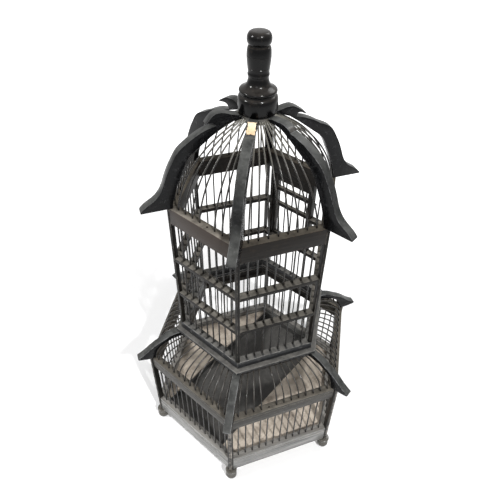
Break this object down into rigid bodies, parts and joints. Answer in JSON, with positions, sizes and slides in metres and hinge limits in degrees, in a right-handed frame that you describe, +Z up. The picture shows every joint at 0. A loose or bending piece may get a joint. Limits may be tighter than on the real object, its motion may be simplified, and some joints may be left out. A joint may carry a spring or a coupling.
{
  "type": "birdcage",
  "caption": "Hexagonal wooden birdcage: a wide lower cage and a tall upper cage under a dome of bent wires, with curved ribs, turned finial, ball feet, side door and pull-out tray.",
  "frame": {"origin": "on the cage's axis, on the plane that the ball feet rest on", "axes": "+Z up; -Y towards the front corner; +X to the right of it, square to the right face"},
  "size_m": [0.4362, 0.495, 0.8564],
  "materials": {
    "black_paint": "wood and rods painted near black, semi-gloss, worn on the edges",
    "dusty_paint": "wood painted near black, dull, with dust on what faces up",
    "gloss_paint": "turned wood in glossy black paint with brown rubbed spots",
    "bare_board": "bare wooden board, dusty and stained",
    "tray_board": "thin board painted dark grey, scuffed"
  },
  "bodies": {
    "root": {"ball_foot_back": "black_paint", "ball_foot_back_left": "black_paint", "ball_foot_back_right": "black_paint", "ball_foot_front": "black_paint", "ball_foot_front_left": "black_paint", "ball_foot_front_right": "black_paint", "bottom_rail": "dusty_paint", "collar_board": "black_paint", "crown_hub": "black_paint", "dome_face_back_left": "dusty_paint", "dome_face_back_right": "dusty_paint", "dome_face_front_left": "dusty_paint", "dome_face_front_right": "dusty_paint", "dome_face_left": "dusty_paint", "dome_face_right": "dusty_paint", "finial": "gloss_paint", "floor_board": "bare_board", "lower_face_back_left": "dusty_paint", "lower_face_back_right": "dusty_paint", "lower_face_front_left": "dusty_paint", "lower_face_front_right": "dusty_paint", "lower_face_left": "dusty_paint", "lower_face_right": "dusty_paint", "lower_post_back": "black_paint", "lower_post_back_left": "black_paint", "lower_post_back_right": "black_paint", "lower_post_front": "black_paint", "lower_post_front_left": "black_paint", "lower_post_front_right": "black_paint", "lower_rib_back": "black_paint", "lower_rib_back_left": "black_paint", "lower_rib_back_right": "black_paint", "lower_rib_front": "black_paint", "lower_rib_front_left": "black_paint", "lower_rib_front_right": "black_paint", "roof_ring": "black_paint", "upper_base_rail": "black_paint", "upper_grille_back_left": "black_paint", "upper_grille_back_right": "black_paint", "upper_grille_front_left": "black_paint", "upper_grille_front_right": "black_paint", "upper_grille_left": "black_paint", "upper_grille_right": "black_paint", "upper_post_back": "black_paint", "upper_post_back_left": "black_paint", "upper_post_back_right": "black_paint", "upper_post_front": "black_paint", "upper_post_front_left": "black_paint", "upper_post_front_right": "black_paint", "upper_rib_back": "black_paint", "upper_rib_back_left": "black_paint", "upper_rib_back_right": "black_paint", "upper_rib_front": "black_paint", "upper_rib_front_left": "black_paint", "upper_rib_front_right": "black_paint"},
    "tray": {"tray_pan": "tray_board", "tray_front": "dusty_paint"},
    "door": {"door_leaf": "black_paint"},
    "button": {"door_button": "black_paint"}
  },
  "joints": [
    {"name": "tray_slide", "type": "slide", "parent": "root", "child": "tray", "axis": [-0.5, -0.866, 0], "range_m": [0, 0.32]},
    {"name": "door_hinge", "type": "hinge", "parent": "root", "child": "door", "pos_m": [0.09735, 0.09553, 0.4828], "axis": [0, 0, -1], "range_deg": [0, 120]},
    {"name": "button_turn", "type": "hinge", "parent": "root", "child": "button", "pos_m": [0.01788, 0.14072, 0.47284], "axis": [0.5, 0.866, 0], "range_deg": [0, 90]}
  ]
}
